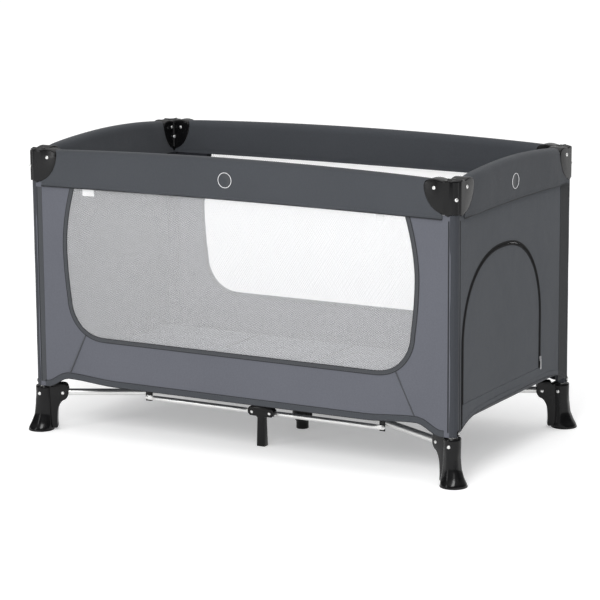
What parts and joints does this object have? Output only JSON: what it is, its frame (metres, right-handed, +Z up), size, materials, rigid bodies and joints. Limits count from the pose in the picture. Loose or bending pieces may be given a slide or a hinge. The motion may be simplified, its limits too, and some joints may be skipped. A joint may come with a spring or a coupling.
{
  "type": "travel play yard",
  "caption": "Folding travel cot with grey fabric walls, see-through mesh windows, a zipped side door, black corner caps and feet, and a steel frame that folds towards its middle.",
  "frame": {"origin": "on the floor under the middle of the cot", "axes": "+Z up, +X along the long side towards the wall with the zipped door, +Y towards the rear long wall"},
  "size_m": [1.2704, 0.7294, 0.7605],
  "materials": {
    "satin_steel": "satin drawn steel tube",
    "satin_aluminium": "satin silver rod",
    "black_plastic": "fine-grained black moulding with a soft gloss",
    "band_fabric": "dark grey padded polyester weave",
    "wall_fabric": "mid grey polyester weave",
    "window_mesh": "pale grey open knit mesh",
    "mattress_fabric": "dark grey quilted polyester",
    "zip_metal": "nickel grey cast metal"
  },
  "bodies": {
    "corner_front_left": {"post_front_left": "satin_steel", "cap_front_left": "black_plastic", "foot_front_left": "black_plastic", "wall_front": "wall_fabric", "mesh_window_front": "window_mesh", "wall_left": "wall_fabric", "floor_fabric": "band_fabric"},
    "tube_front_left": {"diagonal_tube_front_left": "satin_steel"},
    "clip_front_left": {"clip_front_left": "black_plastic"},
    "bar_front_left": {"side_bar_front_left": "satin_aluminium"},
    "corner_front_right": {"post_front_right": "satin_steel", "cap_front_right": "black_plastic", "foot_front_right": "black_plastic", "wall_right": "wall_fabric"},
    "tube_front_right": {"diagonal_tube_front_right": "satin_steel"},
    "clip_front_right": {"clip_front_right": "black_plastic"},
    "bar_front_right": {"side_bar_front_right": "satin_aluminium"},
    "corner_rear_left": {"post_rear_left": "satin_steel", "cap_rear_left": "black_plastic", "foot_rear_left": "black_plastic", "wall_rear": "wall_fabric", "mesh_window_rear": "window_mesh"},
    "tube_rear_left": {"diagonal_tube_rear_left": "satin_steel"},
    "clip_rear_left": {"clip_rear_left": "black_plastic"},
    "bar_rear_left": {"side_bar_rear_left": "satin_aluminium"},
    "corner_rear_right": {"post_rear_right": "satin_steel", "cap_rear_right": "black_plastic", "foot_rear_right": "black_plastic"},
    "tube_rear_right": {"diagonal_tube_rear_right": "satin_steel"},
    "clip_rear_right": {"clip_rear_right": "black_plastic"},
    "bar_rear_right": {"side_bar_rear_right": "satin_aluminium"},
    "hub": {"hub": "black_plastic"},
    "leg_front": {"bracket_leg_front": "black_plastic"},
    "leg_rear": {"bracket_leg_rear": "black_plastic"},
    "long_half_front_left": {"long_rail_front_left": "satin_steel", "rail_cover_front": "band_fabric"},
    "short_half_front_left": {"short_rail_front_left": "satin_steel", "rail_cover_left": "band_fabric"},
    "long_half_front_right": {"long_rail_front_right": "satin_steel"},
    "short_half_front_right": {"short_rail_front_right": "satin_steel", "rail_cover_right": "band_fabric"},
    "long_half_rear_left": {"long_rail_rear_left": "satin_steel", "rail_cover_rear": "band_fabric"},
    "short_half_rear_left": {"short_rail_rear_left": "satin_steel"},
    "long_half_rear_right": {"long_rail_rear_right": "satin_steel"},
    "short_half_rear_right": {"short_rail_rear_right": "satin_steel"},
    "latch_front": {"rail_latch_front": "black_plastic"},
    "button_front": {"latch_button_front": "black_plastic"},
    "latch_rear": {"rail_latch_rear": "black_plastic"},
    "button_rear": {"latch_button_rear": "black_plastic"},
    "latch_left": {"rail_latch_left": "black_plastic"},
    "button_left": {"latch_button_left": "black_plastic"},
    "latch_right": {"rail_latch_right": "black_plastic"},
    "button_right": {"latch_button_right": "black_plastic"},
    "mattress_1": {"mattress_panel_1": "mattress_fabric"},
    "mattress_2": {"mattress_panel_2": "mattress_fabric"},
    "mattress_3": {"mattress_panel_3": "mattress_fabric"},
    "mattress_4": {"mattress_panel_4": "mattress_fabric"},
    "door": {"zip_door": "wall_fabric"},
    "slider": {"zip_slider": "zip_metal"}
  },
  "joints": [
    {"name": "frame_fold", "type": "hinge", "parent": "corner_front_left", "child": "tube_front_left", "pos_m": [-0.55065, -0.30141, 0.1], "axis": [0.4617, -0.887, 0], "range_deg": [0, 85], "deforming": ["wall_front", "wall_rear", "wall_left", "wall_right", "mesh_window_front", "mesh_window_rear", "rail_cover_front", "rail_cover_rear", "rail_cover_left", "rail_cover_right", "zip_door", "zip_slider", "floor_fabric", "mattress_panel_1", "mattress_panel_2", "mattress_panel_3", "mattress_panel_4"]},
    {"name": "hub_level", "type": "hinge", "parent": "tube_front_left", "child": "hub", "pos_m": [-0.02565, -0.02811, 0.1], "axis": [0.4617, -0.887, 0], "range_deg": [-85, 0]},
    {"name": "tube_turn_front_right", "type": "hinge", "parent": "hub", "child": "tube_front_right", "pos_m": [0.02565, -0.02811, 0.1], "axis": [0.4617, 0.887, 0], "range_deg": [0, 85]},
    {"name": "foot_level_front_right", "type": "hinge", "parent": "tube_front_right", "child": "corner_front_right", "pos_m": [0.55065, -0.30141, 0.1], "axis": [0.4617, 0.887, 0], "range_deg": [-85, 0]},
    {"name": "tube_turn_rear_left", "type": "hinge", "parent": "hub", "child": "tube_rear_left", "pos_m": [-0.02565, 0.02811, 0.1], "axis": [-0.4617, -0.887, 0], "range_deg": [0, 85]},
    {"name": "foot_level_rear_left", "type": "hinge", "parent": "tube_rear_left", "child": "corner_rear_left", "pos_m": [-0.55065, 0.30141, 0.1], "axis": [-0.4617, -0.887, 0], "range_deg": [-85, 0]},
    {"name": "tube_turn_rear_right", "type": "hinge", "parent": "hub", "child": "tube_rear_right", "pos_m": [0.02565, 0.02811, 0.1], "axis": [-0.4617, 0.887, 0], "range_deg": [0, 85]},
    {"name": "foot_level_rear_right", "type": "hinge", "parent": "tube_rear_right", "child": "corner_rear_right", "pos_m": [0.55065, 0.30141, 0.1], "axis": [-0.4617, 0.887, 0], "range_deg": [-85, 0]},
    {"name": "long_rail_drop_front_left", "type": "hinge", "parent": "corner_front_left", "child": "long_half_front_left", "pos_m": [-0.553, -0.3245, 0.7265], "axis": [0, 1, 0], "range_deg": [0, 85]},
    {"name": "short_rail_drop_front_left", "type": "hinge", "parent": "corner_front_left", "child": "short_half_front_left", "pos_m": [-0.595, -0.2945, 0.7265], "axis": [-1, 0, 0], "range_deg": [0, 85]},
    {"name": "long_rail_drop_front_right", "type": "hinge", "parent": "corner_front_right", "child": "long_half_front_right", "pos_m": [0.553, -0.3245, 0.7265], "axis": [0, -1, 0], "range_deg": [0, 85]},
    {"name": "short_rail_drop_front_right", "type": "hinge", "parent": "corner_front_right", "child": "short_half_front_right", "pos_m": [0.595, -0.2945, 0.7265], "axis": [-1, 0, 0], "range_deg": [0, 85]},
    {"name": "long_rail_drop_rear_left", "type": "hinge", "parent": "corner_rear_left", "child": "long_half_rear_left", "pos_m": [-0.553, 0.3245, 0.7265], "axis": [0, 1, 0], "range_deg": [0, 85]},
    {"name": "short_rail_drop_rear_left", "type": "hinge", "parent": "corner_rear_left", "child": "short_half_rear_left", "pos_m": [-0.595, 0.2945, 0.7265], "axis": [1, 0, 0], "range_deg": [0, 85]},
    {"name": "long_rail_drop_rear_right", "type": "hinge", "parent": "corner_rear_right", "child": "long_half_rear_right", "pos_m": [0.553, 0.3245, 0.7265], "axis": [0, -1, 0], "range_deg": [0, 85]},
    {"name": "short_rail_drop_rear_right", "type": "hinge", "parent": "corner_rear_right", "child": "short_half_rear_right", "pos_m": [0.595, 0.2945, 0.7265], "axis": [1, 0, 0], "range_deg": [0, 85]},
    {"name": "latch_level_front", "type": "hinge", "parent": "long_half_front_left", "child": "latch_front", "pos_m": [-0.028, -0.3245, 0.7265], "axis": [0, 1, 0], "range_deg": [-85, 0]},
    {"name": "latch_press_front", "type": "slide", "parent": "latch_front", "child": "button_front", "axis": [0, 0, 1], "range_m": [0, 0.005], "stiffness_N_per_m": 600, "springref_m": -0.002},
    {"name": "latch_level_rear", "type": "hinge", "parent": "long_half_rear_left", "child": "latch_rear", "pos_m": [-0.028, 0.3245, 0.7265], "axis": [0, 1, 0], "range_deg": [-85, 0]},
    {"name": "latch_press_rear", "type": "slide", "parent": "latch_rear", "child": "button_rear", "axis": [0, 0, 1], "range_m": [0, 0.005], "stiffness_N_per_m": 600, "springref_m": -0.002},
    {"name": "latch_level_left", "type": "hinge", "parent": "short_half_front_left", "child": "latch_left", "pos_m": [-0.595, -0.0212, 0.7265], "axis": [-1, 0, 0], "range_deg": [-85, 0]},
    {"name": "latch_press_left", "type": "slide", "parent": "latch_left", "child": "button_left", "axis": [0, 0, 1], "range_m": [0, 0.005], "stiffness_N_per_m": 600, "springref_m": -0.002},
    {"name": "latch_level_right", "type": "hinge", "parent": "short_half_front_right", "child": "latch_right", "pos_m": [0.595, -0.0212, 0.7265], "axis": [-1, 0, 0], "range_deg": [-85, 0]},
    {"name": "latch_press_right", "type": "slide", "parent": "latch_right", "child": "button_right", "axis": [0, 0, 1], "range_m": [0, 0.005], "stiffness_N_per_m": 600, "springref_m": -0.002},
    {"name": "clip_level_front_left", "type": "hinge", "parent": "tube_front_left", "child": "clip_front_left", "pos_m": [-0.34752, -0.19567, 0.1], "axis": [0.4617, -0.887, 0], "range_deg": [-85, 0]},
    {"name": "side_bar_rise_front_left", "type": "hinge", "parent": "clip_front_left", "child": "bar_front_left", "pos_m": [-0.34752, -0.21077, 0.089], "axis": [0, -1, 0], "range_deg": [0, 85]},
    {"name": "clip_level_front_right", "type": "hinge", "parent": "tube_front_right", "child": "clip_front_right", "pos_m": [0.34752, -0.19567, 0.1], "axis": [0.4617, 0.887, 0], "range_deg": [-85, 0]},
    {"name": "side_bar_rise_front_right", "type": "hinge", "parent": "clip_front_right", "child": "bar_front_right", "pos_m": [0.34752, -0.21077, 0.089], "axis": [0, 1, 0], "range_deg": [0, 85]},
    {"name": "clip_level_rear_left", "type": "hinge", "parent": "tube_rear_left", "child": "clip_rear_left", "pos_m": [-0.34752, 0.19567, 0.1], "axis": [-0.4617, -0.887, 0], "range_deg": [-85, 0]},
    {"name": "side_bar_rise_rear_left", "type": "hinge", "parent": "clip_rear_left", "child": "bar_rear_left", "pos_m": [-0.34752, 0.21077, 0.089], "axis": [0, -1, 0], "range_deg": [0, 85]},
    {"name": "clip_level_rear_right", "type": "hinge", "parent": "tube_rear_right", "child": "clip_rear_right", "pos_m": [0.34752, 0.19567, 0.1], "axis": [-0.4617, 0.887, 0], "range_deg": [-85, 0]},
    {"name": "side_bar_rise_rear_right", "type": "hinge", "parent": "clip_rear_right", "child": "bar_rear_right", "pos_m": [0.34752, 0.21077, 0.089], "axis": [0, 1, 0], "range_deg": [0, 85]},
    {"name": "leg_level_front", "type": "hinge", "parent": "bar_front_left", "child": "leg_front", "pos_m": [-0.02565, -0.21077, 0.089], "axis": [0, -1, 0], "range_deg": [-85, 0]},
    {"name": "leg_level_rear", "type": "hinge", "parent": "bar_rear_left", "child": "leg_rear", "pos_m": [-0.02565, 0.21077, 0.089], "axis": [0, -1, 0], "range_deg": [-85, 0]},
    {"name": "mattress_lift", "type": "slide", "parent": "corner_front_left", "child": "mattress_1", "axis": [0, 0, 1], "range_m": [0, 0.9]},
    {"name": "mattress_fold", "type": "hinge", "parent": "mattress_1", "child": "mattress_2", "pos_m": [-0.2985, 0, 0.169], "axis": [0, -1, 0], "range_deg": [0, 172]},
    {"name": "mattress_fold_middle", "type": "hinge", "parent": "mattress_2", "child": "mattress_3", "pos_m": [0, 0, 0.152], "axis": [0, -1, 0], "range_deg": [-172, 0]},
    {"name": "mattress_fold_end", "type": "hinge", "parent": "mattress_3", "child": "mattress_4", "pos_m": [0.2985, 0, 0.169], "axis": [0, -1, 0], "range_deg": [0, 172]},
    {"name": "door_open", "type": "hinge", "parent": "corner_front_right", "child": "door", "pos_m": [0.609, -0.078, 0.197], "axis": [0, 1, 0], "range_deg": [0, 105]},
    {"name": "zip_slide", "type": "slide", "parent": "corner_front_right", "child": "slider", "axis": [0, 0, 1], "range_m": [0, 0.1]}
  ],
  "couplings": [
    {"joint": "hub_level", "follows": "frame_fold", "ratio": -1},
    {"joint": "tube_turn_front_right", "follows": "frame_fold", "ratio": 1},
    {"joint": "foot_level_front_right", "follows": "frame_fold", "ratio": -1},
    {"joint": "tube_turn_rear_left", "follows": "frame_fold", "ratio": 1},
    {"joint": "foot_level_rear_left", "follows": "frame_fold", "ratio": -1},
    {"joint": "tube_turn_rear_right", "follows": "frame_fold", "ratio": 1},
    {"joint": "foot_level_rear_right", "follows": "frame_fold", "ratio": -1},
    {"joint": "long_rail_drop_front_left", "follows": "frame_fold", "ratio": 1},
    {"joint": "short_rail_drop_front_left", "follows": "frame_fold", "ratio": 1},
    {"joint": "long_rail_drop_front_right", "follows": "frame_fold", "ratio": 1},
    {"joint": "short_rail_drop_front_right", "follows": "frame_fold", "ratio": 1},
    {"joint": "long_rail_drop_rear_left", "follows": "frame_fold", "ratio": 1},
    {"joint": "short_rail_drop_rear_left", "follows": "frame_fold", "ratio": 1},
    {"joint": "long_rail_drop_rear_right", "follows": "frame_fold", "ratio": 1},
    {"joint": "short_rail_drop_rear_right", "follows": "frame_fold", "ratio": 1},
    {"joint": "latch_level_front", "follows": "frame_fold", "ratio": -1},
    {"joint": "latch_level_rear", "follows": "frame_fold", "ratio": -1},
    {"joint": "latch_level_left", "follows": "frame_fold", "ratio": -1},
    {"joint": "latch_level_right", "follows": "frame_fold", "ratio": -1},
    {"joint": "clip_level_front_left", "follows": "frame_fold", "ratio": -1},
    {"joint": "side_bar_rise_front_left", "follows": "frame_fold", "ratio": 1},
    {"joint": "clip_level_front_right", "follows": "frame_fold", "ratio": -1},
    {"joint": "side_bar_rise_front_right", "follows": "frame_fold", "ratio": 1},
    {"joint": "clip_level_rear_left", "follows": "frame_fold", "ratio": -1},
    {"joint": "side_bar_rise_rear_left", "follows": "frame_fold", "ratio": 1},
    {"joint": "clip_level_rear_right", "follows": "frame_fold", "ratio": -1},
    {"joint": "side_bar_rise_rear_right", "follows": "frame_fold", "ratio": 1},
    {"joint": "leg_level_front", "follows": "frame_fold", "ratio": -1},
    {"joint": "leg_level_rear", "follows": "frame_fold", "ratio": -1},
    {"joint": "mattress_lift", "follows": "frame_fold", "m_per_rad": 0.60665},
    {"joint": "mattress_fold_middle", "follows": "mattress_fold", "ratio": -1},
    {"joint": "mattress_fold_end", "follows": "mattress_fold", "ratio": 1}
  ]
}
